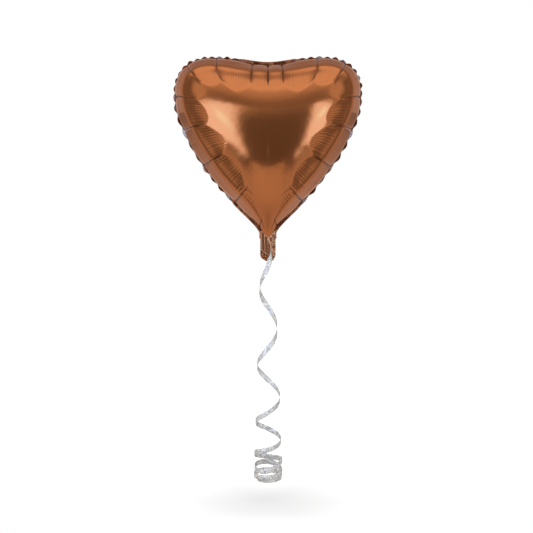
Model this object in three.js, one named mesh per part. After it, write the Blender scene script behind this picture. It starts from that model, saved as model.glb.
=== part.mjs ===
// A heart-shaped foil balloon on a curled ribbon.
//
// Two heart-shaped films of metallised plastic are heat-sealed to each other round their edge and
// hold a gas fill between them. Below the heart the films run on as a flat filling tail, with a
// two-ply valve in its neck. A ribbon passes through a hole in the tail, is stopped by a knot behind
// it, and hangs in curls that grow wider and closer towards its end.
//
// Millimetres, +Z up, the front of the heart faces -Y. The origin is the middle of the neck, where
// the heart meets its tail, because that is where the balloon is held.
import * as THREE from "three";

// ---- Driving dimensions -------------------------------------------------------------------------

const HEART_WIDTH = 402; // over the sealed rim, inflated
const NOTCH_Z = 359.5; // the dip between the lobes, at the outer edge of the rim
const LOBE = { x: 112, z: 374 }; // the top of a lobe
const WIDEST_Z = 292;
const RIM_BAND = 6.5; // the width of the heat-sealed band
const RIM_THICKNESS = 1; // both films fused, drawn thicker than the real 0.1
const FILM = 1; // each film, drawn thicker than the real 0.05
const BULGE = 96; // how far each film stands out from the seam
const NECK_FADE = 55; // the bulge grows over this height above the neck
const RIDGE = { low: -8, shoulder: 215, high: 262 }; // the line of greatest depth, up the middle
const GAP = 0.3; // between neighbours that touch

const TAIL_WIDTH = 32.4;
const NECK_END_Z = -12; // below this the tail is free to flap
const TAIL_TOP_Z = -14.2; // the gap leaves room for the flap's crease
const TAIL_END_Z = -61;
const TAIL_CORNER = 13; // the radius of the tail's lower corners
const TAIL_BAND = 5; // the sealed edge of the tail
const HOLE = { x: 7, z: -37, r: 2.2 }; // the ribbon's hole through the tail
const MOUTH = { left: -39, middle: -49.6, right: -50.7 }; // the height of the filling mouth

// The valve's plies are cut narrower over their last part, inside the balloon.
const VALVE = { width: 17, top: 62, bottom: -11, film: 0.6, gap: 0.4, taper: 30, narrower: 4 };

const RIBBON_TUBE = 5; // the thickness of the tube that stands for the flat ribbon
const KNOT = { stem: 1.5, ball: 4.5, behind: 4, proud: 0.4 }; // its stem ends proud of the tail
const LOOSE_END = { half: 4.5, neck: 2, top: 4.8, bottom: 21, slant: 4, front: 5.6, back: 6.4 };
const CURL_AXIS = { x: 0.5, y: -1 }; // the upright line that the ribbon curls round
const CURL = { outer: 33, inner: 26.5, top: -493, bottom: -540 };

// Where the hanging ribbon passes its left and right sides in turn: the height, and the radius of
// the curl there. The first row is where it leaves the hole.
const RIBBON_SIDES = [
  { halfTurns: 0.17, z: -37, radius: 7.6 },
  { halfTurns: 1, z: -117, radius: 18 },
  { halfTurns: 2, z: -205, radius: 19.5 },
  { halfTurns: 3, z: -284, radius: 23.5 },
  { halfTurns: 4, z: -355, radius: 26 },
  { halfTurns: 5, z: -408, radius: 27.5 },
  { halfTurns: 6, z: -448, radius: 28 },
  { halfTurns: 7, z: -478, radius: 29 },
  { halfTurns: 7.6, z: -489, radius: 29.5 },
];

// ---- Materials ----------------------------------------------------------------------------------

const foil = new THREE.MeshStandardMaterial({ color: 0xb4683a, roughness: 0.12, metalness: 1 });
const sealedFoil = new THREE.MeshStandardMaterial({ color: 0x9a532b, roughness: 0.3, metalness: 1 });
const clearFilm = new THREE.MeshStandardMaterial({ color: 0xd9dcdd, roughness: 0.25, metalness: 0 });
const ribbonSilver = new THREE.MeshStandardMaterial({ color: 0xc9cbcd, roughness: 0.3, metalness: 0.6 });

// ---- The outline of the heart -------------------------------------------------------------------

// The outer edge of the rim, from the foot of the right leg of the neck, up round both lobes, to
// the foot of the left leg. Each point is {point, outward}, in the plane of the seam.
function heartEdge() {
  const side = HEART_WIDTH / 2;
  const leg = TAIL_WIDTH / 2;
  const flare = { x: 68, z: 57 }; // where the straight flank turns into the neck
  const right = [
    [new THREE.LineCurve(v(leg, NECK_END_Z), v(leg, 0)), 2],
    [new THREE.CubicBezierCurve(v(leg, 0), v(18, 10), v(41, 32), v(flare.x, flare.z)), 7],
    [new THREE.CubicBezierCurve(v(flare.x, flare.z), v(137, 120), v(side, 222), v(side, WIDEST_Z)), 14],
    [new THREE.CubicBezierCurve(v(side, WIDEST_Z), v(side, 346), v(172, LOBE.z), v(LOBE.x, LOBE.z)), 12],
    [new THREE.CubicBezierCurve(v(LOBE.x, LOBE.z), v(75, LOBE.z), v(40, NOTCH_Z), v(0, NOTCH_Z)), 10],
  ];
  const edge = [];
  for (const [curve, steps] of right) {
    for (let i = 0; i < steps; i++) {
      const along = curve.getTangent(i / steps);
      edge.push({ point: curve.getPoint(i / steps), outward: v(along.y, -along.x) });
    }
  }
  const left = edge.map(({ point, outward }) => ({
    point: v(-point.x, point.y),
    outward: v(-outward.x, outward.y),
  }));
  const notch = { point: v(0, NOTCH_Z), outward: v(0, 1) };
  return [...edge, notch, ...left.reverse()];
}

function v(x, y) {
  return new THREE.Vector2(x, y);
}

// The edge moved inwards by a distance, as plain points.
function insetEdge(distance) {
  return heartEdge().map(({ point, outward }) => point.clone().addScaledVector(outward, -distance));
}

// ---- Building blocks ----------------------------------------------------------------------------

// A flat plate from an outline in x and z, from y = front to y = back.
function plate(shape, front, back) {
  const geometry = new THREE.ExtrudeGeometry(shape, {
    depth: back - front,
    bevelEnabled: false,
    curveSegments: 10,
  });
  return geometry.rotateX(Math.PI / 2).translate(0, back, 0);
}

// A closed wall between two nets of rings, each open at its first ring and shut at its last.
function wallBetween(outer, inner) {
  const count = outer[0].length;
  const positions = [];
  const index = [];
  const number = [outer, inner].map((net) =>
    net.map((ring) => ring.map((p) => positions.push(p.x, p.y, p.z) / 3 - 1)),
  );
  const strip = (a, b, turned) => {
    for (let i = 0; i < count; i++) {
      const j = (i + 1) % count;
      const faces = [[a[i], a[j], b[j]], [a[i], b[j], b[i]]];
      for (const face of faces) index.push(...(turned ? face.reverse() : face));
    }
  };
  for (let k = 0; k + 1 < outer.length; k++) {
    strip(number[0][k], number[0][k + 1], false);
    strip(number[1][k], number[1][k + 1], true);
  }
  strip(number[1][0], number[0][0], false);
  const geometry = new THREE.BufferGeometry();
  geometry.setAttribute("position", new THREE.Float32BufferAttribute(positions, 3));
  geometry.setIndex(index);
  return geometry;
}

function named(name, geometry, material) {
  const mesh = new THREE.Mesh(geometry, material);
  mesh.name = name;
  return mesh;
}

// ---- The envelope: two films, the sealed rim and the valve --------------------------------------

// The place on the ridge that a point of the edge is joined to. The ridge runs up the middle.
function ridgePoint(p) {
  const up = Math.min(1, (p.y - NECK_END_Z) / (WIDEST_Z - NECK_END_Z));
  const across = p.y > WIDEST_Z ? 1 - Math.abs(p.x) / (HEART_WIDTH / 2) : 0;
  const z = THREE.MathUtils.lerp(RIDGE.low, RIDGE.shoulder, up);
  return v(0, z + (RIDGE.high - RIDGE.shoulder) * across);
}

// One inflated film as a net of rings, from its foot in the seam to the ridge. Each section is the
// one that a pair of flat discs takes when blown up: a tight roll at the rim and a nearly flat
// middle, close to the square root of 1 - r^2.8. The ridge sinks as the heart narrows to its neck.
function filmNet(inset, thinner) {
  const shares = [1, 0.985, 0.95, 0.89, 0.8, 0.68, 0.52, 0.35, 0.17, 0];
  const foot = (z) => (z < 20 ? 1.2 : 0.15); // the films lie over the valve in the neck
  const place = (edge, share) => {
    const ridge = ridgePoint(edge);
    const p = ridge.clone().lerp(edge, share);
    const height = BULGE * (1 - Math.exp((NECK_END_Z - ridge.y) / NECK_FADE)) - thinner;
    return new THREE.Vector3(p.x, -foot(p.y) - height * Math.sqrt(1 - share ** 2.8), p.y);
  };
  const edge = insetEdge(inset);
  return shares.map((share) => edge.map((p) => place(p, share)));
}

function filmGeometry() {
  const inset = RIM_BAND + GAP;
  return wallBetween(filmNet(inset, 0), filmNet(inset + FILM, FILM));
}

function rimWeld() {
  const shape = new THREE.Shape([...insetEdge(0), ...insetEdge(RIM_BAND).reverse()]);
  return named("rim_weld", plate(shape, -RIM_THICKNESS / 2, RIM_THICKNESS / 2), sealedFoil);
}

function valveFilm(name, side) {
  const half = VALVE.width / 2;
  const narrow = half - VALVE.narrower;
  const shape = new THREE.Shape([
    v(-half, VALVE.bottom),
    v(half, VALVE.bottom),
    v(half, VALVE.top - VALVE.taper),
    v(narrow, VALVE.top),
    v(-narrow, VALVE.top),
    v(-half, VALVE.top - VALVE.taper),
  ]);
  const near = VALVE.gap / 2;
  const far = near + VALVE.film;
  return named(name, plate(shape, side < 0 ? -far : near, side < 0 ? -near : far), clearFilm);
}

// ---- The filling tail ---------------------------------------------------------------------------

// The tab's outline from its top right corner, down round the end, to its top left corner.
function tailEdge(inset) {
  const half = TAIL_WIDTH / 2 - inset;
  const corner = TAIL_CORNER - inset;
  const path = new THREE.Path();
  path.moveTo(half, TAIL_TOP_Z);
  path.lineTo(half, TAIL_END_Z + TAIL_CORNER);
  path.absarc(half - corner, TAIL_END_Z + TAIL_CORNER, corner, 0, -Math.PI / 2, true);
  path.lineTo(corner - half, TAIL_END_Z + inset);
  path.absarc(corner - half, TAIL_END_Z + TAIL_CORNER, corner, -Math.PI / 2, -Math.PI, true);
  path.lineTo(-half, TAIL_TOP_Z);
  return path.getPoints(8);
}

// The outlines run clockwise, so the hole runs the other way.
function punched(outline) {
  const shape = new THREE.Shape(outline);
  const round = Array.from({ length: 16 }, (_, i) => {
    const turn = (i / 16) * 2 * Math.PI;
    return v(HOLE.x + HOLE.r * Math.cos(turn), HOLE.z + HOLE.r * Math.sin(turn));
  });
  shape.holes.push(new THREE.Path(round));
  return shape;
}

const TAIL_PLY_INNER = RIM_THICKNESS / 2 + GAP;
const TAIL_PLY_OUTER = TAIL_PLY_INNER + FILM;

function tailWeld() {
  const shape = new THREE.Shape([...tailEdge(0), ...tailEdge(TAIL_BAND).reverse()]);
  return named("tail_weld", plate(shape, -RIM_THICKNESS / 2, RIM_THICKNESS / 2), sealedFoil);
}

function tailBackPly() {
  return named("tail_back_ply", plate(punched(tailEdge(0)), TAIL_PLY_INNER, TAIL_PLY_OUTER), foil);
}

// The front ply stops short of the end, at the slanting mouth that the balloon is filled through.
function tailFrontPly() {
  const half = TAIL_WIDTH / 2;
  const mouth = [v(half, MOUTH.right), v(0, MOUTH.middle), v(-half, MOUTH.left)];
  const shape = punched([v(half, TAIL_TOP_Z), ...mouth, v(-half, TAIL_TOP_Z)]);
  return named("tail_front_ply", plate(shape, -TAIL_PLY_OUTER, -TAIL_PLY_INNER), foil);
}

// ---- The ribbon ---------------------------------------------------------------------------------

// The knot is a ball behind the tail, with the bunched ribbon running forward through the hole.
function ribbonKnot() {
  const front = -(TAIL_PLY_OUTER + KNOT.proud);
  const back = TAIL_PLY_OUTER + GAP;
  const middle = back + KNOT.behind;
  const profile = [v(0, front), v(KNOT.stem, front), v(KNOT.stem, back)];
  const steps = 6; // from the ball's flattened front to its back
  for (let i = 0; i <= steps; i++) {
    const turn = -Math.PI / 3 + (i / steps) * ((5 * Math.PI) / 6);
    const radius = i === steps ? 0 : KNOT.ball * Math.cos(turn);
    profile.push(v(radius, middle + KNOT.ball * Math.sin(turn)));
  }
  const geometry = new THREE.LatheGeometry(profile, 20);
  return named("ribbon_knot", geometry.translate(HOLE.x, 0, HOLE.z), ribbonSilver);
}

// The short cut end that stands out below the knot.
function ribbonLooseEnd() {
  const top = HOLE.z - LOOSE_END.top;
  const bottom = HOLE.z - LOOSE_END.bottom;
  const shape = new THREE.Shape([
    v(HOLE.x - LOOSE_END.half, bottom),
    v(HOLE.x + LOOSE_END.half, bottom - LOOSE_END.slant),
    v(HOLE.x + LOOSE_END.neck, top),
    v(HOLE.x - LOOSE_END.neck, top),
  ]);
  const flat = plate(shape, LOOSE_END.front, LOOSE_END.back);
  return named("ribbon_loose_end", flat, ribbonSilver);
}

// The middle of the ribbon after a number of half turns, going down, clockwise from above.
function ribbonPoint(halfTurns) {
  const after = RIBBON_SIDES.findIndex((row) => row.halfTurns >= halfTurns);
  const [a, b] = [RIBBON_SIDES[Math.max(0, after - 1)], RIBBON_SIDES[Math.max(1, after)]];
  const share = (halfTurns - a.halfTurns) / (b.halfTurns - a.halfTurns);
  const turn = -Math.PI * halfTurns;
  const radius = THREE.MathUtils.lerp(a.radius, b.radius, share);
  return new THREE.Vector3(
    CURL_AXIS.x + radius * Math.cos(turn),
    CURL_AXIS.y + radius * Math.sin(turn),
    THREE.MathUtils.lerp(a.z, b.z, share),
  );
}

function ribbonStrand() {
  const first = RIBBON_SIDES[0].halfTurns;
  const last = RIBBON_SIDES.at(-1).halfTurns;
  const points = 48;
  const route = Array.from({ length: points + 1 }, (_, i) =>
    ribbonPoint(first + ((last - first) * i) / points),
  );
  const section = new THREE.Shape(
    Array.from({ length: 8 }, (_, i) => {
      const turn = (i / 8) * 2 * Math.PI;
      return v((RIBBON_TUBE / 2) * Math.cos(turn), (RIBBON_TUBE / 2) * Math.sin(turn));
    }),
  );
  const geometry = new THREE.ExtrudeGeometry(section, {
    extrudePath: new THREE.CatmullRomCurve3(route),
    steps: 72,
    bevelEnabled: false,
  });
  return named("ribbon_strand", geometry, ribbonSilver);
}

// The turns at the end of the ribbon lie close above each other, as one ring.
function ribbonCurl() {
  const profile = [
    v(CURL.inner, CURL.bottom),
    v(CURL.outer, CURL.bottom),
    v(CURL.outer, CURL.top),
    v(CURL.inner, CURL.top),
    v(CURL.inner, CURL.bottom),
  ];
  const geometry = new THREE.LatheGeometry(profile, 40).rotateX(Math.PI / 2);
  return named("ribbon_curl", geometry.translate(CURL_AXIS.x, CURL_AXIS.y, 0), ribbonSilver);
}

// ---- The balloon --------------------------------------------------------------------------------

const balloon = new THREE.Group();

const frontPanel = named("front_panel", filmGeometry(), foil);
const backPanel = named("back_panel", filmGeometry(), foil);
backPanel.rotation.z = Math.PI; // the same film, turned to face the other way
balloon.add(frontPanel, backPanel, rimWeld());
balloon.add(valveFilm("valve_front_film", -1), valveFilm("valve_back_film", 1));

balloon.add(tailFrontPly(), tailBackPly(), tailWeld());
balloon.add(ribbonKnot(), ribbonLooseEnd(), ribbonStrand(), ribbonCurl());

export default balloon;
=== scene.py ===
# %% [markdown]
# # A heart-shaped foil balloon on a curled ribbon
# A foil balloon is two hearts of thin metallised plastic, welded together round their edge and blown
# up. The film can't stretch, so its edge has to gather as the middle swells. That gathering is the
# whole look: a smooth pillow, a tight roll round it, deep folds across the roll and fine pleats.
# This script starts from a plain model of the balloon, which fixes every size and place, and builds
# the fine surfaces over it.

# %% Load the plain model
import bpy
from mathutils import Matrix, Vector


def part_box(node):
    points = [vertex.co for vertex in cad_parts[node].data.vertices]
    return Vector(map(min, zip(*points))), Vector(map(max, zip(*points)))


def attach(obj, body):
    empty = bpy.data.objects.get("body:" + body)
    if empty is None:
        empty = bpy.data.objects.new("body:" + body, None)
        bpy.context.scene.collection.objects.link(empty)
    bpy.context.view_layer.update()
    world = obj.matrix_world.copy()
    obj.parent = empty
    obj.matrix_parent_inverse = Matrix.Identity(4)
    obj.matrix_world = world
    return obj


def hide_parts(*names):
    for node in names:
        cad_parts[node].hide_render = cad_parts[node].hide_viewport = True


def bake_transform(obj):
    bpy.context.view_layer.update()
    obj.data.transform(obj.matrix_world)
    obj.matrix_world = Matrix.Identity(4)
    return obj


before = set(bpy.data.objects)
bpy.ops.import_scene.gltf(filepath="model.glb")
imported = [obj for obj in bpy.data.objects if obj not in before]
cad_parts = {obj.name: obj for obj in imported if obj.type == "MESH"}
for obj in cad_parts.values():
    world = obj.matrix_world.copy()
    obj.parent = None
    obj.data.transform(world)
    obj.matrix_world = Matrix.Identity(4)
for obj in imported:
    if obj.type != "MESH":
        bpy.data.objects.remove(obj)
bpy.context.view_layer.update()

import math

import bpy
import numpy as np
from mathutils import Vector

MM = 0.001

# %% [markdown]
# ## Camera
# A long lens from three metres away keeps the heart free of distortion. It stands at the height of
# the heart and looks slightly down, so the coils at the end of the ribbon open into ellipses.

# %% Camera
CAMERA_AWAY = 3.0
CAMERA_HEIGHT = 0.2
LOOK_AT = (-0.003, 0.0, -0.072)
PICTURE_WIDTH = 1.14  # how much the picture takes in at the balloon

scene = bpy.context.scene
camera = bpy.data.objects.new("camera", bpy.data.cameras.new("camera"))
scene.collection.objects.link(camera)
scene.camera = camera
drop = CAMERA_HEIGHT - LOOK_AT[2]
camera.location = (LOOK_AT[0], -CAMERA_AWAY, CAMERA_HEIGHT)
camera.rotation_euler = (math.pi / 2 - math.atan2(drop, CAMERA_AWAY), 0, 0)
camera.data.lens = camera.data.sensor_width * math.hypot(CAMERA_AWAY, drop) / PICTURE_WIDTH
print("lens:", round(camera.data.lens, 1), "mm")

# %% [markdown]
# ## From arrays to meshes
# Every piece below is a grid of points worked out with numpy. These helpers turn such a grid into
# faces and a mesh, and give it a flat map (a UV map) that runs along the rows and columns in metres.

# %% Mesh helpers
def grid_faces(rows, columns, around=False):
    """Quads between neighbouring points of a grid that is stored row by row.

    With around=True the last column is joined to the first."""
    row = np.arange(rows - 1)[:, None]
    column = np.arange(columns if around else columns - 1)[None, :]
    after = (column + 1) % columns
    corners = [row * columns + column, row * columns + after]
    corners += [(row + 1) * columns + after, (row + 1) * columns + column]
    return np.stack(np.broadcast_arrays(*corners), axis=-1).reshape(-1, 4)


def make_piece(name, points, faces, flat=None):
    """A smooth-shaded mesh object from points, faces and, for each point, its place on the flat map."""
    mesh = bpy.data.meshes.new(name)
    mesh.from_pydata(np.reshape(points, (-1, 3)).tolist(), [], faces)
    mesh.polygons.foreach_set("use_smooth", np.ones(len(mesh.polygons), dtype=bool))
    if flat is not None:
        corner = np.empty(len(mesh.loops), dtype=np.int32)
        mesh.loops.foreach_get("vertex_index", corner)
        layer = mesh.uv_layers.new(name="flat")
        layer.data.foreach_set("uv", np.reshape(flat, (-1, 2))[corner].astype(np.float32).ravel())
    mesh.validate()
    piece = bpy.data.objects.new(name, mesh)
    scene.collection.objects.link(piece)
    print(name, len(mesh.vertices), "points,", len(mesh.polygons), "faces")
    return piece


def smooth(low, high, x):
    """0 below low, 1 above high, and an S-shaped rise between them."""
    t = np.clip((x - low) / (high - low), 0, 1)
    return t * t * (3 - 2 * t)


def unit(vectors):
    """Each vector along the last axis, scaled to length one."""
    return vectors / np.maximum(np.linalg.norm(vectors, axis=-1, keepdims=True), 1e-12)


# %% [markdown]
# ## The ribbon's path
# Curling ribbon is pulled over a blade, and it then hangs in curls that are long and narrow near the
# knot, where they carry weight, and wide and close at the free end. The path is a helix whose height
# and radius are given each time it passes its left or right side. A smooth curve is drawn through
# those rows, so neither the pitch nor the width changes suddenly.

# %% Ribbon path
RIBBON_WIDTH = 11.5 * MM
RIBBON_THICKNESS = 0.3 * MM
CURL_AXIS = np.array([0.5, -1.0]) * MM
HOLE = np.array([7.0, -2.6, -34.5]) * MM  # where the ribbon leaves the tail

# half turns so far, height in mm, radius in mm
SIDES = np.array([
    (0.17, -37, 7.6),
    (1.0, -117, 18.0),
    (2.0, -205, 19.5),
    (3.0, -284, 23.5),
    (4.0, -355, 26.0),
    (5.0, -408, 27.5),
    (6.0, -448, 28.0),
    (7.0, -477, 30.0),
    (8.0, -492, 31.0),
    (9.0, -507, 29.5),
    (10.0, -518, 31.0),
    (11.0, -523, 30.5),
    (12.0, -526, 29.5),
    (12.8, -527, 28.5),
])


def through_rows(at, where, values):
    """A smooth curve through values given at where: a Hermite cubic whose slopes are local averages."""
    slopes = np.gradient(values, where)
    i = np.clip(np.searchsorted(where, at, side="right") - 1, 0, len(where) - 2)
    span = where[i + 1] - where[i]
    t = (at - where[i]) / span
    start = (1 + 2 * t) * (1 - t) ** 2 * values[i] + t * (1 - t) ** 2 * span * slopes[i]
    end = t * t * (3 - 2 * t) * values[i + 1] - t * t * (1 - t) * span * slopes[i + 1]
    return start + end


def ribbon_path(steps):
    """The ribbon's middle line, clockwise from above. Its last turns tip to the back and the front."""
    turns = np.linspace(SIDES[0, 0], SIDES[-1, 0], steps)
    radius = through_rows(turns, SIDES[:, 0], SIDES[:, 2]) * MM
    height = through_rows(turns, SIDES[:, 0], SIDES[:, 1]) * MM
    x = radius * np.cos(-np.pi * turns)
    y = radius * np.sin(-np.pi * turns)
    tip = -0.2 * smooth(6.4, 7.3, turns) * (1 - smooth(7.8, 8.4, turns))
    dip = 0.34 * smooth(8.0, 8.6, turns) * (1 - smooth(9.6, 10.4, turns))
    tip += dip + 0.12 * smooth(10, 10.6, turns)
    return np.stack([CURL_AXIS[0] + x, CURL_AXIS[1] + y, height + tip * y], axis=-1)


path = ribbon_path(900)
steps = np.linalg.norm(np.diff(path, axis=0), axis=1)
along = np.concatenate([[0], np.cumsum(steps)])
print("ribbon length:", round(along[-1], 3), "m")

# %% [markdown]
# ## The ribbon
# A flat band is carried along the path. Its face lies on the cylinder that the curl goes round, so
# its outer side is glitter and its inner side is the plain back of the film. It leaves the tail as
# a bunched point and opens to its full width within a few centimetres. The band is a thin closed
# loop of eight points, with its ends shut.

# %% Ribbon
BUNCHED = 0.26  # the ribbon's width in the hole, as a share of its full width
OPENS_OVER = 24 * MM


def band(path, outward, widths, thickness, lift=0.0):
    """A flat band along a path: a closed loop of points across it, as wide as widths at each step.

    outward is the way that the outer face looks. lift bends the band's edges inwards."""
    ahead = unit(np.gradient(path, axis=0))
    outward = unit(outward - np.sum(outward * ahead, axis=-1, keepdims=True) * ahead)
    across = np.cross(outward, ahead)
    share = np.array([-1, -0.94, 0, 0.94, 1, 0.94, 0, -0.94]) / 2
    side = np.array([0, 1, 1, 1, 0, -1, -1, -1]) / 2
    sag = -lift * (2 * share) ** 2
    offset = share[None, :, None] * widths[:, None, None] * across[:, None, :]
    offset = offset + (side * thickness + sag)[None, :, None] * outward[:, None, :]
    points = path[:, None, :] + offset
    flat = np.stack(np.broadcast_arrays(
        np.concatenate([[0], np.cumsum(np.linalg.norm(np.diff(path, axis=0), axis=1))])[:, None],
        np.arange(8)[None, :] * RIBBON_WIDTH / 8,
    ), axis=-1)
    rows = len(path)
    faces = grid_faces(rows, 8, around=True)[:, ::-1].tolist()
    faces += [list(range(8)), [(rows - 1) * 8 + i for i in reversed(range(8))]]
    return points, faces, flat


outward = np.stack([path[:, 0] - CURL_AXIS[0], path[:, 1] - CURL_AXIS[1], 0 * path[:, 2]], axis=-1)
opening = BUNCHED + (1 - BUNCHED) * smooth(0, OPENS_OVER, along)
points, faces, flat = band(path, outward, RIBBON_WIDTH * opening, RIBBON_THICKNESS, lift=0.25 * MM)
ribbon = make_piece("hanging_ribbon", points, faces, flat)
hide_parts("ribbon_strand", "ribbon_curl")
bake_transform(ribbon)

# %% [markdown]
# ## The knot and the loose end
# Behind the tail the ribbon is tied in an overhand knot, which can't pull through the hole. A
# trefoil curve is that knot, and the same flat band follows it, bunched to a third of its width. A
# stem runs forward through the hole, and a short cut end is left below.

# %% Knot, stem and loose end
KNOT_CENTRE = np.array([7.0, 6.0, -37.0]) * MM
KNOT_SIZE = 1.42 * MM
KNOT_STEPS = 161
STEM_STEPS = 24
END_STEPS = 40


def knot_path(steps):
    """A trefoil: the two circles of its round are run through twice while it weaves three times."""
    t = np.linspace(0, 2 * np.pi, steps)
    x = np.sin(t) + 2 * np.sin(2 * t)
    z = np.cos(t) - 2 * np.cos(2 * t)
    y = -np.sin(3 * t)
    return KNOT_CENTRE + KNOT_SIZE * np.stack([x, 1.3 * y, z], axis=-1)


turn = knot_path(KNOT_STEPS)
knot_width = np.full(KNOT_STEPS, 3.4 * MM)
points, faces, flat = band(turn, turn - KNOT_CENTRE, knot_width, 0.7 * MM, lift=0.5 * MM)
knot = make_piece("tied_knot", points, faces, flat)

stem_way = np.linspace(0, 1, STEM_STEPS)[:, None]
stem_front = HOLE + np.array([0, 0, -1.6]) * MM
stem = (1 - stem_way) * (KNOT_CENTRE + np.array([0, -1.0, 0.4]) * MM) + stem_way * stem_front
stem_outward = np.tile([1.0, 0, 0.2], (STEM_STEPS, 1))
points, faces, flat = band(stem, stem_outward, np.full(STEM_STEPS, 2.2 * MM), 1.1 * MM)
through_hole = make_piece("stem_through_hole", points, faces, flat)

end_way = np.linspace(0, 1, END_STEPS)
loose = KNOT_CENTRE + np.stack([
    1.6 * np.sin(2.2 * end_way),
    0.8 + 2.2 * end_way**2,
    -1 - 21.5 * end_way,
], axis=-1) * MM
end_width = (2.6 + 6.4 * smooth(0, 0.6, end_way)) * MM
end_outward = np.tile([0.2, 1.0, 0], (END_STEPS, 1))
points, faces, flat = band(loose, end_outward, end_width, RIBBON_THICKNESS, lift=0.8 * MM)
cut_end = make_piece("loose_cut_end", points, faces, flat)

for piece, node in ((knot, "ribbon_knot"), (cut_end, "ribbon_loose_end")):
    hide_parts(node)
for piece in (knot, through_hole, cut_end):
    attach(piece, "knot")

# %% [markdown]
# ## The seam
# The heart is drawn once, as the line of its weld: from the foot of the right leg of the neck, up
# the flank, round the lobe, down to the notch, and mirrored. Four Bezier curves make the right
# half. Its width and height come from the plain model's rim.

# %% Seam line
rim_low, rim_high = (np.array(corner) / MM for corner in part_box("rim_weld"))
WIDE = rim_high[0]
LOBE_TOP = rim_high[2]
FOOT = rim_low[2]
LEG = 16.2  # half the neck's width
WIDEST_AT = 292.0  # the height at which the heart is widest
NOTCH = 359.5  # the height of the dip between the lobes
LOBE_AT = 112.0  # how far from the middle a lobe's top is
SEAM_INSET = 4.6  # the weld shows this far outside the seam
HEART_CENTRE = np.array([0.0, 200.0])
ACROSS = 481  # points along each half of the seam
INWARD = 46  # points from the seam to the middle
ACROSS_NECK = 4  # points from the neck's middle to its leg
SEAM_SAMPLES = 801  # points of each half of the seam when a distance to it is measured


def bezier(a, b, c, d, steps):
    """Points on the cubic Bezier curve with those four control points, without its end point."""
    t = np.arange(steps)[:, None] / steps
    a, b, c, d = (np.array(p, dtype=float) for p in (a, b, c, d))
    return (1 - t) ** 3 * a + 3 * t * (1 - t) ** 2 * b + 3 * t * t * (1 - t) * c + t**3 * d


def half_outline():
    """The outer edge of the rim on the right, in mm: x outwards and z up."""
    foot, hip = (LEG, FOOT), (68, 57)
    return np.concatenate([
        bezier(foot, (LEG, FOOT + 4), (LEG, -4), (LEG, 0), 300),
        bezier((LEG, 0), (18, 10), (41, 32), hip, 700),
        bezier(hip, (137, 120), (WIDE, 222), (WIDE, WIDEST_AT), 1500),
        bezier((WIDE, WIDEST_AT), (WIDE, 346), (172, LOBE_TOP), (LOBE_AT, LOBE_TOP), 1200),
        bezier((LOBE_AT, LOBE_TOP), (75, LOBE_TOP), (40, NOTCH), (0, NOTCH), 800),
        [(0.0, NOTCH)],
    ])


def evenly(points, count):
    """The polyline of points, walked again in count even steps."""
    lengths = np.linalg.norm(np.diff(points, axis=0), axis=1)
    way = np.concatenate([[0], np.cumsum(lengths)])
    at = np.linspace(0, way[-1], count)
    return np.stack([np.interp(at, way, points[:, i]) for i in range(2)], axis=-1)


def blurred(values, reach):
    """A running average over reach steps each way along the first axis, with the ends held."""
    kernel = np.hanning(2 * reach + 3)[1:-1]
    kernel /= kernel.sum()
    padded = np.pad(values, ((reach, reach), (0, 0)), mode="edge")
    return np.stack([np.convolve(padded[:, i], kernel, mode="valid") for i in range(2)], axis=-1)


outline = evenly(half_outline(), ACROSS)
tangent = unit(np.gradient(outline, axis=0))
inward = np.stack([-tangent[:, 1], tangent[:, 0]], axis=-1)
inward[-1] = (0, -1)
seam_right = evenly(outline + SEAM_INSET * inward, ACROSS)
seam_right[-1, 0] = 0
tangent = unit(np.gradient(seam_right, axis=0))
inward = unit(blurred(np.stack([-tangent[:, 1], tangent[:, 0]], axis=-1), 4))
inward[-1] = (0, -1)


def both_halves(right):
    """The right half's values followed by their mirror image, with x turned round."""
    left = right[:-1][::-1] * np.array([-1, 1])
    return np.concatenate([right, left])


seam = both_halves(seam_right)
seam_inward = both_halves(inward)
seam_way = np.concatenate([[0], np.cumsum(np.linalg.norm(np.diff(seam, axis=0), axis=1))])
over_lobes = smooth(230, 330, seam[:, 1])  # 0 on the flanks and 1 over the lobes
seam_angle = np.degrees(np.arctan2(seam[:, 0], HEART_CENTRE[1] - seam[:, 1])) % 360
print("seam length:", round(seam_way[-1]), "mm")

# %% [markdown]
# ## The pillow
# Rays run from the seam towards the middle. Each leaves the seam at a right angle, because that is
# the way the folds run, and then bends to the middle of the heart. The film's depth at a point
# depends on how far it is from the whole seam, in a smooth average of distances that gives every
# nearby stretch its say. The depth rises from the seam as a tight roll and levels off to a pillow.
# Solving the cloth's true shape would need a long simulation and still wouldn't put each fold where
# it is wanted, so the shape is written down instead.

# %% Pillow
RAY_STRAIGHT = 80.0  # a ray stays square to the seam for about this long
DEPTH = 92.0  # how far the middle of each film stands out from the seam
ROLL_POWER = 1.45  # the lower, the rounder the roll at the seam
CREST = 185.0  # the height at which the film faces straight forward
LEAN = 0.16  # above the crest the depth falls by this share, over this height
LEAN_OVER = 180.0
NECK_FADE = 46.0  # the depth grows over this height above the neck
NECK_LIFT = 9.0  # the film's lower edge is a V: its ends are this much higher than its middle
NECK_LIFT_FADE = 12.0
GAS_V = 12.5  # the gas ends in a steeper V above that edge, this deep
GAS_V_HALF = 12.0  # its half width
GAS_V_ROUND = 2.0  # how round its point is
GAS_V_FADE = 30.0  # above this height the V no longer counts
SEAM_GAP = 0.35  # each film starts this far from the plane of the seam


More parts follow.
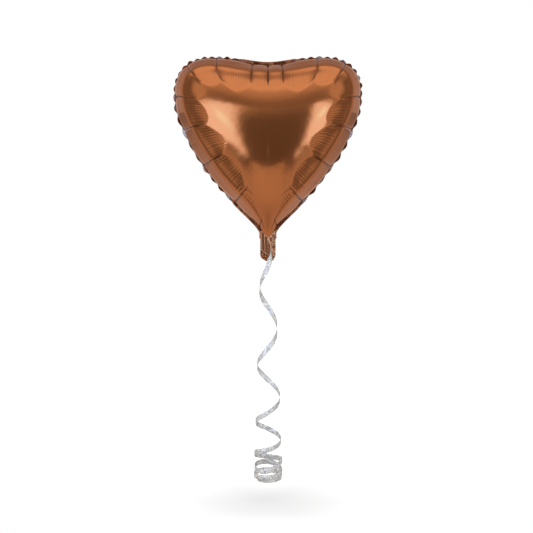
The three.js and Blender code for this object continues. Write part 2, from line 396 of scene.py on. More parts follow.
def rays(edge, inward, centre):
    """Points along the rays, as quadratic Bezier curves: seam, a point square to it, the middle."""
    to_axis = np.abs(edge[:, 0]) / np.maximum(np.abs(inward[:, 0]), 1e-6)
    reach = 1 / (1 / RAY_STRAIGHT**4 + 1 / np.maximum(0.75 * to_axis, 1) ** 4) ** 0.25
    reach[-1] = reach[-2]
    elbow = edge + inward * reach[:, None]
    t = (np.linspace(0, 1, INWARD) ** 1.5)[:, None, None]
    return (1 - t) ** 2 * edge + 2 * t * (1 - t) * elbow + t * t * centre


def smooth_distance(points, edge):
    """The distance to the edge, averaged over it all: one over the root of the sum of 1 / d^3."""
    middle = (edge[1:] + edge[:-1]) / 2
    length = np.linalg.norm(np.diff(edge, axis=0), axis=1)
    total = np.zeros(points.shape[:2])
    for some in np.array_split(np.arange(len(middle)), 40):
        gap = points[:, :, None, :] - middle[some]
        total += np.sum(length[some] / np.maximum(np.sum(gap * gap, axis=-1), 1e-4) ** 1.5, axis=-1)
    return 1 / np.sqrt(total)


def pillow_depth(points, edge):
    """How far the film stands out: a roll at the seam, a level middle, and a thin neck.

    Below a V across the neck it is flat: there the two films lie on each other."""
    near = smooth_distance(points, edge)
    share = np.clip(near / near.max(), 0, 1)
    roll = np.sqrt(1 - (1 - share) ** ROLL_POWER)
    roll[0] = 0
    x, z = points[:, :, 0], points[:, :, 1]
    arm = np.sqrt(x**2 + GAS_V_ROUND**2) - GAS_V_ROUND
    sideways = np.minimum(arm, GAS_V_HALF) / GAS_V_HALF
    line = FOOT + GAS_V * sideways * (1 - smooth(0, GAS_V_FADE, z - FOOT))
    above = np.maximum(z - line, 0) / NECK_FADE
    lean = 1 - LEAN * (np.maximum(z - CREST, 0) / LEAN_OVER) ** 2
    return DEPTH * roll * lean * (1 - np.exp(-(above**1.2)))


def mirrored(half, turn):
    """The half grid followed by its mirror image. The middle columns at both ends aren't repeated."""
    return np.concatenate([half, half[:, -2:0:-1] * turn], axis=1)


right = rays(seam_right, inward, HEART_CENTRE)
neck_share = (np.arange(ACROSS_NECK) / ACROSS_NECK)[None, :, None]
neck_strip = right[:, :1] * np.concatenate([neck_share, neck_share * 0 + 1], axis=-1)
right = np.concatenate([neck_strip, right], axis=1)
low = np.exp(-(((right[..., 1] - FOOT) / NECK_LIFT_FADE) ** 2))
right[..., 1] += NECK_LIFT * low * np.clip(right[..., 0] / LEG, 0, 1)
depth_right = pillow_depth(right, both_halves(evenly(seam_right, SEAM_SAMPLES)))
plan = mirrored(right, np.array([-1, 1]))
depth = mirrored(depth_right, 1)
rays_only = slice(ACROSS_NECK, ACROSS_NECK + len(seam))
step = np.linalg.norm(np.diff(plan[:, rays_only], axis=0), axis=-1)
inside = np.concatenate([np.zeros((1, len(seam))), np.cumsum(step, axis=0)])
print("pillow depth:", round(depth.max(), 1), "mm")

# %% [markdown]
# ## Folds and pleats
# The gathered edge folds in three sizes. Deep creases run in from the seam a few centimetres apart,
# and the film bulges between each two. The outer roll follows the seam and ends in a shoulder, which
# is a groove near the neck. Inside it, fine pleats run square to the seam and stop at an arc between
# each two creases. Each is a displacement along the surface's own normal, so they add up. Every
# point also carries a painted shade for its folds, which the material darkens by.

# %% Folds
# the creases' places, as an angle round the heart from its foot, how far they reach in, in mm, and
# their strength; those as weak as a nick don't part two bulges
CREASES_RIGHT = [
    (6.3, 26, 0.95), (29, 44, 1.0), (48, 15, 0.35), (66, 52, 1.0), (96, 47, 1.0), (114, 42, 0.9),
    (124, 16, 0.35), (134, 36, 0.9), (142, 14, 0.4), (148.6, 28, 0.8), (169.5, 42, 0.9),
    (180, 50, 1.0),
]
CREASES_LEFT = [
    (354, 26, 0.95), (332, 46, 1.0), (312, 14, 0.35), (292.5, 55, 1.0), (275, 14, 0.3),
    (264.4, 48, 1.0), (246, 46, 0.9), (237, 16, 0.35), (228, 38, 0.9), (220, 14, 0.4),
    (212.5, 28, 0.8), (191.5, 42, 0.9),
]
NICK = 0.5  # the strength up to which a crease is only a nick
BULGE = 2.4  # how far the film stands out between two creases
CREASE_DEPTH = 1.7
CREASE_WIDTH = 1.3
ROLL = 23.0  # the outer roll's width on the flanks
ROLL_NARROWER = 9.0  # over the lobes it is this much narrower
SHOULDER = 3.0
GROOVE = 0.8  # near the neck a groove parts each roll from the tongue of film between them
PLEAT_SPACING = 4.9  # over the lobes; it is wider on the flanks
PLEAT_WIDER = 2.0
PLEAT_HEIGHT = 0.22
PLEAT_DARKEST = 0.16  # a pleat this deep gets the full painted shade
FRONT_SEED = 3
BACK_SEED = 8


def crease_rows(listed):
    """Each crease's place along the seam, its reach and its strength, in order."""
    rows = [(np.interp(angle, seam_angle, seam_way), reach, force) for angle, reach, force in listed]
    return np.array(sorted(rows))


def scallops(rows):
    """For each point of the seam: its share of the way between two deep creases, and their spacing."""
    ends = np.concatenate([[0], rows[rows[:, 2] > NICK, 0], [seam_way[-1]]])
    i = np.clip(np.searchsorted(ends, seam_way, side="right") - 1, 0, len(ends) - 2)
    share = (seam_way - ends[i]) / (ends[i + 1] - ends[i])
    middles = (ends[1:] + ends[:-1]) / 2
    return share, np.interp(seam_way, middles, np.diff(ends))


def creases(rows):
    """Narrow valleys along the rays, sharp in the middle, that fade out at each one's reach."""
    depths = np.zeros_like(inside)
    for place, reach, force in rows:
        away = seam_way - place
        valley = np.exp(-np.abs(away) / CREASE_WIDTH) + 0.2 * np.exp(-((away / 6) ** 2))
        depths += CREASE_DEPTH * force * valley * np.clip(1 - (inside / reach) ** 2, 0, 1) ** 0.7
    return depths


def pleats(arc, roll, chance):
    """Fine ripples along the seam, between the roll and the arc, closer together over the lobes."""
    spacing = PLEAT_SPACING + PLEAT_WIDER * (1 - over_lobes)
    count = np.cumsum(np.gradient(seam_way) / spacing)
    waver = 0.16 * np.sin(count * 1.1 + chance.uniform(0, 6)) + 0.12 * np.sin(count * 1.9)
    height = PLEAT_HEIGHT + 0.06 * np.sin(count * 0.6 + chance.uniform(0, 6))
    height = height * (1 - 0.68 * over_lobes)
    return height * np.sin(2 * np.pi * (count + waver)) * smooth(roll, roll + 7, inside) * (
        1 - smooth(arc - 12, arc, inside)
    )


def folds(rows, seed):
    """At every point of the rays: the displacement along the normal, in mm, and its painted fold shade.
    """
    chance = np.random.default_rng(seed)
    share, spacing = scallops(rows)
    arch = np.abs(np.sin(np.pi * share)) ** 0.7
    softer = arch + (arch**3 - arch) * smooth(15, 50, inside)  # no sharp valleys further in
    height = seam[:, 1]
    neck = smooth(0, 50, height) * 0.8 + 0.2
    roll_share = np.interp(height, [0, 20, 45, 90], [0.35, 0.6, 0.85, 1])
    roll = roll_share * (ROLL - ROLL_NARROWER * smooth(130, 340, height))
    size = np.minimum(spacing / 65, 1.15)
    bulge = BULGE * size * (softer - 0.6) * np.exp(-((inside / (0.5 * spacing + 6)) ** 2))
    shoulder = SHOULDER * roll / ROLL * np.exp(-(((inside - 0.88 * roll) / (0.5 * roll)) ** 2))
    arc = (46 + 0.3 * spacing * arch) * np.interp(height, [0, 40, 85, 150], [0.25, 0.55, 0.8, 1])
    dish = -0.09 * arc * size * np.clip(1 - (inside / arc) ** 2, 0, 1) * (1 - np.exp(-inside / 4))
    fine = pleats(arc, roll, chance)
    groove = np.exp(-(((inside - 1.15 * roll) / 1.4) ** 2))
    groove *= smooth(FOOT + 1, FOOT + 10, height) * (1 - smooth(40, 95, height))
    lines = np.zeros_like(inside)
    for place, reach, force in rows:
        line = force * np.exp(-(((seam_way - place) / 1.5) ** 2))
        lines = np.maximum(lines, line * (1 - smooth(reach - 16, reach, inside)))
    pleat_shade = np.clip(-fine / PLEAT_DARKEST, 0, 1)
    # painted shade: dark on crease lines, on the low sides of pleats and in the groove near the neck
    shade = np.clip(0.95 * lines + 0.34 * pleat_shade + 0.7 * groove, 0, 1)
    shift = neck * (bulge + shoulder + dish + fine) - GROOVE * groove
    return shift - np.minimum(neck * 1.5, 1) * creases(rows), shade


def normals_of(points):
    """The normal of a grid that closes on itself, from the two ways in which its neighbours lie."""
    along_row = np.roll(points, -1, axis=1) - np.roll(points, 1, axis=1)
    return unit(np.cross(along_row, np.gradient(points, axis=0)))


def panel_points(side, rows, seed):
    """The film's grid, in mm, and the painted fold shade of each point: side is -1 for the front and 1
    for the back."""
    base = np.stack([plan[..., 0], side * (depth + SEAM_GAP), plan[..., 1]], axis=-1)
    outwards = normals_of(base) * -side
    out = -seam_inward
    outwards[0, rays_only] = np.stack([out[:, 0], 0 * seam_way, out[:, 1]], axis=-1)
    outwards[-1] = (0, side, 0)
    shift, shade = folds(rows, seed)
    shift[-1] = 0
    shift = np.pad(shift, ((0, 0), (ACROSS_NECK, ACROSS_NECK - 1)), mode="edge")
    shift[0, :ACROSS_NECK] = 0
    shift[0, 1 - ACROSS_NECK:] = 0
    shade = np.pad(shade, ((0, 0), (ACROSS_NECK, ACROSS_NECK - 1)))
    return base + outwards * shift[..., None], shade


def mark(piece, name, values):
    """Gives each point of a piece a number that its material can read."""
    piece.data.attributes.new(name, "FLOAT", "POINT").data.foreach_set("value", values.ravel())


def panel(name, side, rows, seed):
    """One film as a mesh: the grid, closed round the neck and at the middle by a single point.

    A pale painted highlight runs along the seam, strongest near the neck, for the weld's edge
    catching the light."""
    points, shade = panel_points(side, rows, seed)
    columns = points.shape[1]
    pole = (INWARD - 1) * columns
    last = pole - columns
    faces = grid_faces(INWARD - 1, columns, around=True).tolist()
    faces += [[last + i, last + (i + 1) % columns, pole] for i in range(columns)]
    if side < 0:
        faces = [face[::-1] for face in faces]
    body = np.concatenate([points[:-1].reshape(-1, 3), points[-1, :1]])
    piece = make_piece(name, body * MM, faces)
    mark(piece, "painted_shade", np.append(shade[:-1].ravel(), 0.0))
    glint = np.zeros_like(shade)
    # painted highlight along the seam, strongest near the neck
    glint[:3] = 0.12 + 0.45 * (1 - smooth(40, 120, points[0, :, 2]))
    mark(piece, "painted_highlight", np.append(glint[:-1].ravel(), 0.0))
    return piece


crease_list = crease_rows(CREASES_RIGHT + CREASES_LEFT)
front = panel("front_film", -1, crease_list, FRONT_SEED)
back = panel("back_film", 1, crease_list, BACK_SEED)
FILM = 0.25 * MM  # drawn thicker than the real film, so that it stays a clean solid
for piece, node in ((front, "front_panel"), (back, "back_panel")):
    wall = piece.modifiers.new("film thickness", "SOLIDIFY")
    wall.thickness = FILM
    wall.offset = -1
    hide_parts(node)
    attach(piece, "envelope")
    print(node, "area", round(sum(face.area for face in piece.data.polygons), 4), "m2")

# %% [markdown]
# ## The welded rim
# Outside the seam the two films are fused into a flat band. It is too long for the gathered seam, so
# it ruffles: it waves to the front and the back, and its edge shows as a row of small scallops. At
# the notch and near the neck, where the seam curves the other way, it lies flat and wide. Every
# second bent scallop gets painted shade, and some get a painted highlight.

# %% Welded rim
WELD_WIDE = 6.6  # where it lies flat
WELD_NARROW = 0.7  # between two scallops
SCALLOP = 4.9  # how much further the largest scallop stands out
WAVE = 2.4  # how far it bends to the front or the back
RUFFLE_LOBES = 17.0  # the spacing of the scallops over the lobes
RUFFLE_FLANKS = 26.0
RUFFLE_SEED = 11


def rim_section():
    """The band's width, its wave towards the front or back, and each scallop's number."""
    straight = np.minimum(smooth(40, 95, np.abs(seam[:, 0])), smooth(45, 95, seam[:, 1]))
    spacing = RUFFLE_FLANKS + (RUFFLE_LOBES - RUFFLE_FLANKS) * over_lobes
    phase = np.cumsum(np.gradient(seam_way) / spacing) + 0.3 * np.sin(seam_way / 61)
    number = np.floor(phase).astype(int)
    chance = np.random.default_rng(RUFFLE_SEED)
    size = chance.uniform(0.5, 1, number.max() + 1)[number]
    lobes = np.abs(np.sin(np.pi * phase)) ** 1.4 * size
    width = WELD_WIDE - straight * (WELD_WIDE - WELD_NARROW - SCALLOP * lobes)
    wave = straight * WAVE * lobes * np.where(number % 2 == 0, 1, -1)
    return width, wave, number


def rim_points(start, width, wave):
    """The band as a closed loop of eight points across it, at each point of the seam. start is how
    far the front film's edge stands out there."""
    share = np.array([-0.25, 0, 0.5, 1, 1.02, 1, 0.5, 0])
    side = np.array([0, 1, 1, 0.8, 0, -0.8, -1, -1]) * 0.2
    reach = start[:, None] * (1 - np.clip(share, 0, 1)) + share * width[:, None]
    reach[:, 0] = start - 1.2
    out = -seam_inward
    bend = wave[:, None] * np.clip(share, 0, 1) ** 1.3
    return np.stack([
        seam[:, None, 0] + out[:, None, 0] * reach,
        bend + side,
        seam[:, None, 1] + out[:, None, 1] * reach,
    ], axis=-1)


width, wave, number = rim_section()
film_shift = folds(crease_list, FRONT_SEED)[0]
rim_grid = rim_points(film_shift[0], width, wave)
rim_faces = grid_faces(len(seam), 8, around=True).tolist()
rim_faces += [list(range(7, -1, -1)), [(len(seam) - 1) * 8 + i for i in range(8)]]
rim_flat = np.stack(np.broadcast_arrays(
    seam_way[:, None] * MM, np.array([0, 1, 3, 6, 7, 8, 10, 12])[None, :] * MM
), axis=-1)
rim = make_piece("welded_rim", rim_grid * MM, rim_faces, rim_flat)
curled = np.clip(np.abs(wave), 0, 1)[:, None] * np.ones(8)  # painted shade on every second scallop, a painted highlight on some
mark(rim, "painted_shade", 0.75 * curled * (number % 2 == 0)[:, None])
mark(rim, "painted_highlight", 0.3 * curled * (number % 3 == 1)[:, None])
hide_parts("rim_weld")
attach(rim, "envelope")

# %% [markdown]
# ## The tail
# The films run on below the heart as a flat tab, 32 mm wide. The front film is folded over itself
# from the left, which draws the slanting line that ends where the ribbon comes out, and it stops
# at a slanting mouth. The back film goes on to a rounded end, and both are welded together
# along the sides. The folded-over layer has painted shade in soft upright streaks on its waves
# and a faint painted light; its edges have painted highlights, and the rest has the weld's grain.

# %% Tail
tail_low, tail_high = (np.array(corner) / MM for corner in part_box("tail_back_ply"))
TAIL_HALF = tail_high[0]
TAIL_END = tail_low[2]
TAIL_TOP = 4.0  # it starts inside the heart's neck
TAIL_CORNER = 13.0
PLY = 0.3  # how thick each film is drawn, and the welded layer between them
CORE = 0.9


def tail_half_width(z):
    """The tab's half width: the neck's at the top, straight sides, and a rounded end."""
    below = np.clip((TAIL_END + TAIL_CORNER - z) / TAIL_CORNER, 0, 1)
    return TAIL_HALF - TAIL_CORNER * (1 - np.sqrt(np.maximum(1 - below**2, 0)))


def closed_sheet(front, back):
    """Two grids of the same size as the front and back of one thin solid: all its faces."""
    rows, columns = front.shape[:2]
    count = rows * columns
    number = np.arange(count).reshape(rows, columns)
    edge = np.concatenate([
        number[0, :-1], number[:-1, -1], number[-1, :0:-1], number[:0:-1, 0]
    ])
    nxt = np.roll(edge, -1)
    faces = grid_faces(rows, columns)
    walls = np.stack([edge, nxt, nxt + count, edge + count], axis=-1)
    faces = np.concatenate([faces[:, ::-1], faces + count, walls])
    return np.stack([front, back]), faces.tolist()


def tail_sheet(name, bottom, face, thickness, inset=0.0, rows=70, columns=44):
    """A ply of the tail: bottom(x) is its lower edge and face(x, z) its front, both in mm."""
    across = np.linspace(-1, 1, columns)[None, :]
    down = np.linspace(0, 1, rows)[:, None]
    x = across * (TAIL_HALF - inset)
    z = TAIL_TOP + down * (bottom(x) - TAIL_TOP)
    x = across * (tail_half_width(z) - inset)
    y = face(x, z)
    front = np.stack([x, y, z], axis=-1)
    back = np.stack([x, y + thickness, z], axis=-1)
    points, faces = closed_sheet(front, back)
    flat = np.stack(np.broadcast_arrays(x, z), axis=-1) * MM
    return make_piece(name, points * MM, faces, np.stack([flat, flat]))


def round_end(x):
    """The lower edge of the tab: a half-round end."""
    share = np.clip((np.abs(x) - TAIL_HALF + TAIL_CORNER) / TAIL_CORNER, 0, 1)
    return TAIL_END + TAIL_CORNER * (1 - np.sqrt(np.maximum(1 - share**2, 0))) * 0.98


def mouth(x):
    """The slanting mouth: high on the left and low in the middle, then level."""
    return -36 - 11 * smooth(-16, 1, x) - 3 * smooth(0, 16, x)


def fold_at(z):
    """How far to the right the folded layer reaches at each height."""
    return np.interp(-z, [-4, 9, 25, 34, 60], [-14, 0.4, 6.2, 7.0, 7.0])


def neck_end(x):
    """The V in which the gas-filled neck ends above the flat tail."""
    return np.interp(x, [-16, -13, 0.4, 11.6, 16], [7, 4.5, -10, 0.4, 5])


def front_face(x, z):
    """The front ply stands out left of the fold's edge, with a ridge along that edge and upright
    waves. Above the neck's V it drops back, and the filled film lies over it."""
    folded = smooth(-0.5, 0.5, fold_at(z) - x)
    edge = np.exp(-(((x - fold_at(z) + 0.7) / 0.7) ** 2))
    upright = np.sin(0.85 * x + 0.05 * z) + 0.6 * np.sin(1.9 * x + 0.9 + 0.03 * z)
    flat = -1.35 - 0.75 * folded - 0.35 * edge - 0.11 * upright
    under_neck = smooth(-0.6, 1.6, z - neck_end(x))
    return flat * (1 - under_neck) - 0.3 * under_neck


def back_face(x, z):
    """The back ply: nearly flat, with a few soft upright waves."""
    return 0.75 + 0.25 * np.sin(0.45 * x + 0.02 * z) + 0.12 * np.sin(1.3 * x)


def tip_face(x, z):
    """The welded core between the plies, which shows below the mouth and down the right side."""
    cup = 0.5 * (x / TAIL_HALF) ** 2
    return -0.45 - cup + 0.12 * np.sin(0.9 * x + 0.6 * z)


front_ply = tail_sheet("tail_front_film", mouth, front_face, PLY, inset=0.25)
back_ply = tail_sheet("tail_back_film", round_end, back_face, PLY)
core = tail_sheet("tail_welded_core", round_end, tip_face, CORE, inset=-0.15)
tail_parts = (
    (front_ply, "tail_front_ply", "copper_foil"),
    (back_ply, "tail_back_ply", "copper_foil"),
    (core, "tail_weld", "welded_foil"),
)
spots = np.array([vertex.co for vertex in front_ply.data.vertices]) / MM
spot_x, spot_z = spots[:, 0], spots[:, 2]
fold_edge = np.exp(-(((spot_x - fold_at(spot_z) + 0.3) / 0.5) ** 2)) * smooth(-46, -38, spot_z)
mouth_edge = (1 - smooth(0.6, 1.6, spot_z - mouth(spot_x))) * (1 - smooth(-2, 4, spot_x))
neck_edge = np.exp(-(((spot_z - neck_end(spot_x) + 0.5) / 0.7) ** 2))
folded_layer = smooth(0, 2, fold_at(spot_z) - spot_x)
edges = np.maximum(np.maximum(fold_edge, mouth_edge), neck_edge)
# painted highlights along the fold's edge, the mouth and the neck's V, and faint painted light over the
# folded layer
mark(front_ply, "painted_highlight", np.maximum(0.65 * edges, 0.04 * folded_layer))
# painted shade in upright streaks where the folded layer waves
wave_shade = np.clip(np.sin(0.85 * spot_x + 0.05 * spot_z) + 0.6 * np.sin(1.9 * spot_x + 0.9), 0, 1)
mark(front_ply, "painted_shade", 0.4 * wave_shade * folded_layer)
grained = smooth(1.2, 3.2, spot_x - fold_at(spot_z))
mark(front_ply, "weld_share", np.maximum(grained, 0.3 * folded_layer))
for piece, node, finish in tail_parts:
    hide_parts(node)
    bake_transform(piece)

# %% [markdown]
# ## Writing materials as sums
# Patterns are easier to read as arithmetic than as a picture of boxes. A Wire stands for a socket,
# and adding or multiplying wires adds the Math nodes. Any other node comes from one method.

# %% Shader helpers
class Wire:
    """One value inside a material. Arithmetic on it adds Math nodes to its node tree."""

    def __init__(self, socket):
        self.socket = socket

    def _math(self, operation, first, second):
        tree = self.socket.id_data
        node = tree.nodes.new("ShaderNodeMath")
        node.operation = operation
        for place, value in enumerate((first, second)):
            plug(tree, node.inputs[place], value)
        return Wire(node.outputs[0])

    def __add__(self, other):
        return self._math("ADD", self, other)

    __radd__ = __add__

    def __mul__(self, other):
        return self._math("MULTIPLY", self, other)

    __rmul__ = __mul__

    def __sub__(self, other):
        return self._math("SUBTRACT", self, other)

    def __rsub__(self, other):
        return self._math("SUBTRACT", other, self)

    def __pow__(self, other):
        return self._math("POWER", self, other)


def plug(tree, socket, value):
    """Links a wire to a socket, or sets the socket to a plain value."""
    if isinstance(value, Wire):
        tree.links.new(value.socket, socket)
    else:
        socket.default_value = value


class Finish:
    """A material or world under construction."""

    def __init__(self, owner):
        owner.use_nodes = True
        self.owner = owner
        self.tree = owner.node_tree
        self.tree.nodes.clear()

    def node(self, kind, settings=None, inputs=None, output=0):
        """A new node: its settings first, then its sockets. Returns the wire of one output."""
        node = self.tree.nodes.new(kind)
        for name, value in (settings or {}).items():
            setattr(node, name, value)
        for name, value in (inputs or {}).items():
            plug(self.tree, node.inputs[name], value)
        return Wire(node.outputs[output])

    def mix(self, factor, first, second):
        """Two colours mixed by a factor."""
        node = self.tree.nodes.new("ShaderNodeMix")
        node.data_type = "RGBA"
        for place, value in ((0, factor), (6, first), (7, second)):
            plug(self.tree, node.inputs[place], value)
        return Wire(node.outputs[2])

    def ramp(self, factor, low, high):
        """0 where factor is under low, 1 where it is over high, smooth between."""
        spread = {"From Min": low, "From Max": high, "Value": factor}
        return self.node("ShaderNodeMapRange", {"interpolation_type": "SMOOTHSTEP"}, spread)

    def noise(self, where, scale, detail=2.0):
        """Cloudy values round 0.5, with features 1 / scale metres wide."""
        return self.node("ShaderNodeTexNoise", {}, {"Vector": where, "Scale": scale, "Detail": detail})

    def bump(self, height, distance, strength=1.0):
        """A normal tilted by a height between 0 and 1 that stands for distance metres."""
        given = {"Height": height, "Distance": distance, "Strength": strength}
        return self.node("ShaderNodeBump", {}, given)

    def end(self, kind, shader, target="ShaderNodeOutputMaterial"):
        """Joins the last shader to the output."""
        out = self.tree.nodes.new(target)
        self.tree.links.new(shader.socket, out.inputs[kind])
        return self.owner


def material(name):
    """A new, empty material as a Finish."""
    return Finish(bpy.data.materials.new(name))


def place_of(finish):
    """The point on the piece, in metres."""
    return finish.node("ShaderNodeTexCoord", output="Object")


def rgb(red, green, blue):
    """A colour with full alpha."""
    return (red, green, blue, 1.0)


# %% [markdown]
# ## Copper foil
# The film is a clear plastic with a vapour-thin metal layer and a tinted lacquer over it. That makes
# it a mirror with colour, and a little blurred: the plastic is never quite smooth. A faint, fine
# crinkle breaks up the reflections, and the roughness drifts slowly over the surface. The numbers
# that the points carry paint shade into folds and highlights along edges, and grain on welds.

# %% Foil materials
COPPER = rgb(0.54, 0.172, 0.050)
COPPER_DEEP = rgb(0.49, 0.148, 0.041)


def marked(finish, name):
    """The number that each point of the piece carries under this name, or 0."""
    settings = {"attribute_name": name, "attribute_type": "GEOMETRY"}
    return finish.node("ShaderNodeAttribute", settings, output="Fac")


def foil():
    """Tinted metallised film: painted shade in folds, painted highlights on edges, grain on welds."""
    f = material("copper_foil_film")
    where = place_of(f)
    drift = f.noise(where, 14)
    slack = f.noise(where, 60, 1.0)
    shade = marked(f, "painted_shade")
    glint = marked(f, "painted_highlight")
    weld = marked(f, "weld_share")
    patches = f.noise(where, 420, 3.0)
    tone = f.mix(drift, COPPER_DEEP, COPPER)
    grained = f.mix(f.ramp(patches, 0.4, 0.6), rgb(0.13, 0.035, 0.012), rgb(0.75, 0.33, 0.15))
    tone = f.mix(weld, tone, grained)
    # painted shade in folds, where the coat is thinner too
    tone = f.mix(shade, tone, rgb(0.075, 0.022, 0.008))
    # painted highlight: paler, less metallic and rougher
    tone = f.mix(glint, tone, rgb(0.85, 0.62, 0.45))
    shader = f.node("ShaderNodeBsdfPrincipled", {}, {
        "Base Color": tone,
        "Metallic": 1.0 - 0.6 * glint,
        "Roughness": 0.12 + 0.05 * drift + 0.25 * weld + 0.3 * glint,
        "Coat Weight": 0.35 - 0.35 * shade,
        "Coat Roughness": 0.12,
        "Normal": f.bump(slack + patches * weld * 2.0, 0.00016),
    })
    return f.end("Surface", shader)


def welded(name, relief, patch_scale):
    """The same film after the hot jaws: pressed with a fine grain, rougher and darker."""
    f = material(name)
    where = place_of(f)
    grain = f.node("ShaderNodeTexVoronoi", {"feature": "F1"}, {"Vector": where, "Scale": 620.0})
    patches = f.noise(where, patch_scale, 3.0)
    tone = f.mix(f.ramp(patches, 0.4, 0.65), rgb(0.15, 0.04, 0.014), rgb(0.46, 0.16, 0.06))
    # painted shade and painted highlights, from the numbers that the points carry
    tone = f.mix(marked(f, "painted_shade"), tone, rgb(0.085, 0.018, 0.006))
    tone = f.mix(marked(f, "painted_highlight"), tone, rgb(0.85, 0.75, 0.68))
    shader = f.node("ShaderNodeBsdfPrincipled", {}, {
        "Base Color": tone,
        "Metallic": 1.0,
        "Roughness": 0.2 + 0.2 * patches,
        "Normal": f.bump(grain + patches, relief),
    })
    return f.end("Surface", shader)


foil_film = foil()
rim_film = welded("welded_foil_rim", 0.00012, 70)
core_film = welded("welded_foil_tail", 0.0007, 330)
for piece in (front, back, front_ply, back_ply):
    piece.data.materials.append(foil_film)
rim.data.materials.append(rim_film)
core.data.materials.append(core_film)
print("foil and weld materials made")

# %% [markdown]
# ## Glitter ribbon
# Holographic ribbon is pressed with tiny facets, and each catches the light by itself. Cells about a
# millimetre across, each with its own brightness and a hint of its own colour, give that broken
# sparkle. Each cell also tilts the surface a little. The inner side of the ribbon is plain.

# %% Ribbon material
def glitter():
    """Silver film: small pressed facets on its outer side, plain brushed metal on its inner side."""
    f = material("silver_glitter_ribbon")
    where = place_of(f)
    cells = {"Vector": where, "Scale": 760.0}
    colour = f.node("ShaderNodeTexVoronoi", {"feature": "F1"}, cells, output="Color")
    parts = f.node("ShaderNodeSeparateColor", {}, {"Color": colour})
    cloud = f.noise(where, 170, 2.0)
    flat = f.node("ShaderNodeTexCoord", output="UV")
    across = f.node("ShaderNodeSeparateXYZ", {}, {"Vector": flat}, output="Y")
    inner = f.ramp(across, 0.45 * RIBBON_WIDTH, 0.55 * RIBBON_WIDTH)
    shade = f.mix(f.ramp(parts + cloud * 0.8, 0.5, 1.1), rgb(0.4, 0.4, 0.395), rgb(0.98, 0.975, 0.96))
    tinted = f.mix(0.06, shade, colour)
    plain = f.mix(f.ramp(cloud, 0.35, 0.65), rgb(0.5, 0.495, 0.485), rgb(0.88, 0.875, 0.86))
    shader = f.node("ShaderNodeBsdfPrincipled", {}, {
        "Base Color": f.mix(inner, tinted, plain),
        "Metallic": 0.2,
        "Roughness": 0.22 + 0.2 * parts + 0.1 * inner,
        "Normal": f.bump(parts * (1 - 0.9 * inner), 0.0005, 0.8),
    })
    return f.end("Surface", shader)


ribbon_film = glitter()
for piece in (ribbon, knot, through_hole, cut_end):
    piece.data.materials.append(ribbon_film)


# %% [markdown]
# ## Valve film
# Inside the neck two clear films lie on each other. Gas pushes in between them, and the pressure in
# the balloon then presses them shut. They are clear polythene with faint flow lines.

# %% Valve material
def clear_film():
    """Clear soft plastic with faint lines along its length."""
    f = material("clear_valve_film")
    where = place_of(f)
    stretched = f.node("ShaderNodeMapping", {}, {"Vector": where, "Scale": (400.0, 400.0, 30.0)})
    lines = f.noise(stretched, 1.0, 2.0)
    shader = f.node("ShaderNodeBsdfPrincipled", {}, {
        "Base Color": f.mix(lines, rgb(0.78, 0.80, 0.82), rgb(0.9, 0.91, 0.92)),
        "Roughness": 0.18 + 0.14 * lines,
        "Alpha": 0.35 + 0.2 * lines,
        "Normal": f.bump(lines, 0.0002),
    })
    return f.end("Surface", shader)


valve_film = clear_film()
for node in ("valve_front_film", "valve_back_film"):
    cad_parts[node].material_slots[0].material = valve_film

# %% [markdown]
# ## The studio
# A mirror is only as good as what it reflects. The room is white behind the balloon and dark in
# front of it, where the camera stands, which gives the pillow its deep centre. A pale floor runs
# forward under the balloon and warms its lower half. Two soft boxes in front, to the left and
# right, are drawn as bright patches of the room itself, each with a hotter core, so they are seen
# in the foil only. Three lamps that no mirror shows light the ribbon and the floor, and the one
# above throws the faint shadow. A glance at the bare room always meets white.

# %% Room
FLOOR_Z = -0.575
FLOOR_HALF = 0.5
DARK_LEVEL = 0.2  # how bright the room is in front, at the sides, behind, and in the soft boxes
SIDE_LEVEL = 0.42
BEHIND_LEVEL = 0.64
BOX_LEVEL = 3.0


def soft_patch(f, across, up, box, soft):
    """1 inside a rectangle (left, right, bottom, top) and 0 outside, with soft edges."""
    left, right, bottom, top = box
    wide = f.ramp(across, left - soft, left + soft) * (1 - f.ramp(across, right - soft, right + soft))
    return wide * f.ramp(up, bottom - soft, bottom + soft) * (1 - f.ramp(up, top - soft, top + soft))


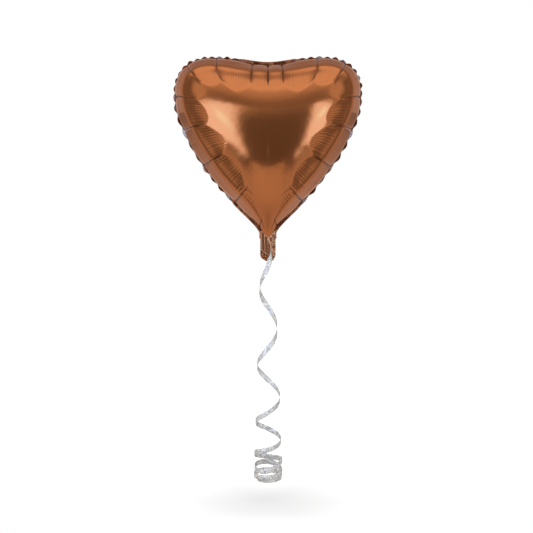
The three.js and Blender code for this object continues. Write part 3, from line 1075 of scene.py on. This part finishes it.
def room():
    """White behind, dark in front with two soft boxes, and half bright overhead, in reflections.

    The camera itself meets plain white, and everything else an even grey. A direction's place on a
    plane ahead of the balloon is x / towards and z / towards, and there the boxes are slanted
    rectangles."""
    world = bpy.data.worlds.new("white_room")
    scene.world = world
    f = Finish(world)
    way = f.node("ShaderNodeTexCoord", output="Generated")
    parts = f.node("ShaderNodeSeparateXYZ", {}, {"Vector": way}).socket.node.outputs
    x, y, z = (Wire(parts[axis]) for axis in "XYZ")
    towards = 0 - y
    steep = towards + 0.27 * f.ramp(z, 0.55, 0.9)
    sides = SIDE_LEVEL * (1 - f.ramp(towards, 0.62, 0.88))
    overhead = 0.16 * f.ramp(z, 0.15, 0.4) + 0.34 * f.ramp(z, 0.78, 0.9)
    front_side = DARK_LEVEL + f.ramp(steep, 0.15, 0.34) * (sides + overhead)
    front_side = front_side + 0.11 * (1 - f.ramp(towards, 0.3, 0.6))
    white = f.ramp(y, -0.06, 0.16)
    behind = BEHIND_LEVEL - 0.14 * f.ramp(z, 0.3, 0.8)
    level = front_side + (behind - front_side) * white
    ahead = f.node("ShaderNodeMath", {"operation": "MAXIMUM"}, {0: towards, 1: 0.1}) ** -1
    across, up = x * ahead, z * ahead
    left_up = up - 0.3 * (across + 0.7)
    left = soft_patch(f, across - 0.3 * up, left_up, (-1.5, -0.24, -0.43, 0.3), 0.06)
    right_up = up + 0.3 * (across - 0.6)
    right = soft_patch(f, across + 0.3 * up, right_up, (0.4, 1.0, -0.43, 0.3), 0.06)
    left_core = soft_patch(f, across, up, (-0.5, -0.36, -0.02, 0.16), 0.16)
    right_core = soft_patch(f, across, up, (0.55, 0.66, -0.02, 0.2), 0.14)
    core = f.ramp(left_core + right_core, 0, 0.7)
    colour = f.mix(white, rgb(1, 1, 1), rgb(0.98, 0.96, 1.0))
    colour = f.mix(left + right, colour, rgb(0.56, 0.8, 1.25))
    colour = f.mix(core, colour, rgb(0.6, 1.25, 1.9))
    level = level + (BOX_LEVEL - level) * (left + right)
    lit = f.node("ShaderNodeBackground", {}, {"Color": colour, "Strength": level})
    plain = f.node("ShaderNodeBackground", {}, {"Color": rgb(1, 1, 1), "Strength": 1.0})
    dim = f.node("ShaderNodeBackground", {}, {"Color": rgb(1, 1, 1), "Strength": 0.5})
    mirrored = f.node("ShaderNodeLightPath", output="Is Glossy Ray")
    seen = f.node("ShaderNodeLightPath", output="Is Camera Ray")
    shader = f.node("ShaderNodeMixShader", {}, {0: mirrored, 1: dim, 2: lit})
    shader = f.node("ShaderNodeMixShader", {}, {0: seen, 1: shader, 2: plain})
    f.end("Surface", shader, "ShaderNodeOutputWorld")


def floor():
    """A pale sheet from in front of the balloon to far behind it. To the camera it glows a little,
    and more towards its edges, so that it meets the white room without a line."""
    corners = [(-FLOOR_HALF, -1.9), (FLOOR_HALF, -1.9), (FLOOR_HALF, -0.2), (4.0, 2.0)]
    corners += [(4.0, 6.0), (-4.0, 6.0), (-4.0, 2.0), (-FLOOR_HALF, -0.2)]
    piece = make_piece("studio_floor", [(x, y, FLOOR_Z) for x, y in corners], [list(range(8))])
    f = material("white_floor")
    away = f.node("ShaderNodeVectorMath", {"operation": "LENGTH"}, {0: place_of(f)}, output="Value")
    seen = f.node("ShaderNodeLightPath", output="Is Camera Ray")
    paper = f.mix(seen, rgb(0.62, 0.59, 0.57), rgb(0.9, 0.9, 0.9))
    diffuse = f.node("ShaderNodeBsdfDiffuse", {}, {"Color": paper})
    strength = seen * (0.055 + 0.6 * f.ramp(away, 0.4, 1.2))
    glow = f.node("ShaderNodeEmission", {}, {"Strength": strength})
    both = f.node("ShaderNodeAddShader", {}, {0: diffuse, 1: glow})
    piece.data.materials.append(f.end("Surface", both))


def lamp_at(name, azimuth, elevation, away, size, radiance):
    """A rectangular lamp that no mirror shows, on a sphere round the heart. Azimuth 0 is the
    camera's side."""
    a, e = math.radians(azimuth), math.radians(elevation)
    way = Vector((math.sin(a) * math.cos(e), -math.cos(a) * math.cos(e), math.sin(e)))
    lamp = bpy.data.lights.new(name, "AREA")
    lamp.shape = "RECTANGLE"
    lamp.size, lamp.size_y = size
    lamp.energy = radiance * math.pi * size[0] * size[1]
    holder = bpy.data.objects.new(name, lamp)
    holder.location = Vector((0, 0, CAMERA_HEIGHT)) + way * away
    holder.rotation_euler = way.to_track_quat("Z", "Y").to_euler()
    holder.visible_glossy = False
    scene.collection.objects.link(holder)


room()
floor()
lamp_at("left_lamp", -34, 10, 2.0, (1.5, 1.3), 2.2)
lamp_at("right_lamp", 34, 10, 2.0, (0.95, 1.3), 2.2)
lamp_at("top_light", 180, 85, 1.9, (0.9, 0.9), 15)
scene.view_settings.view_transform = "Standard"
print("studio made")
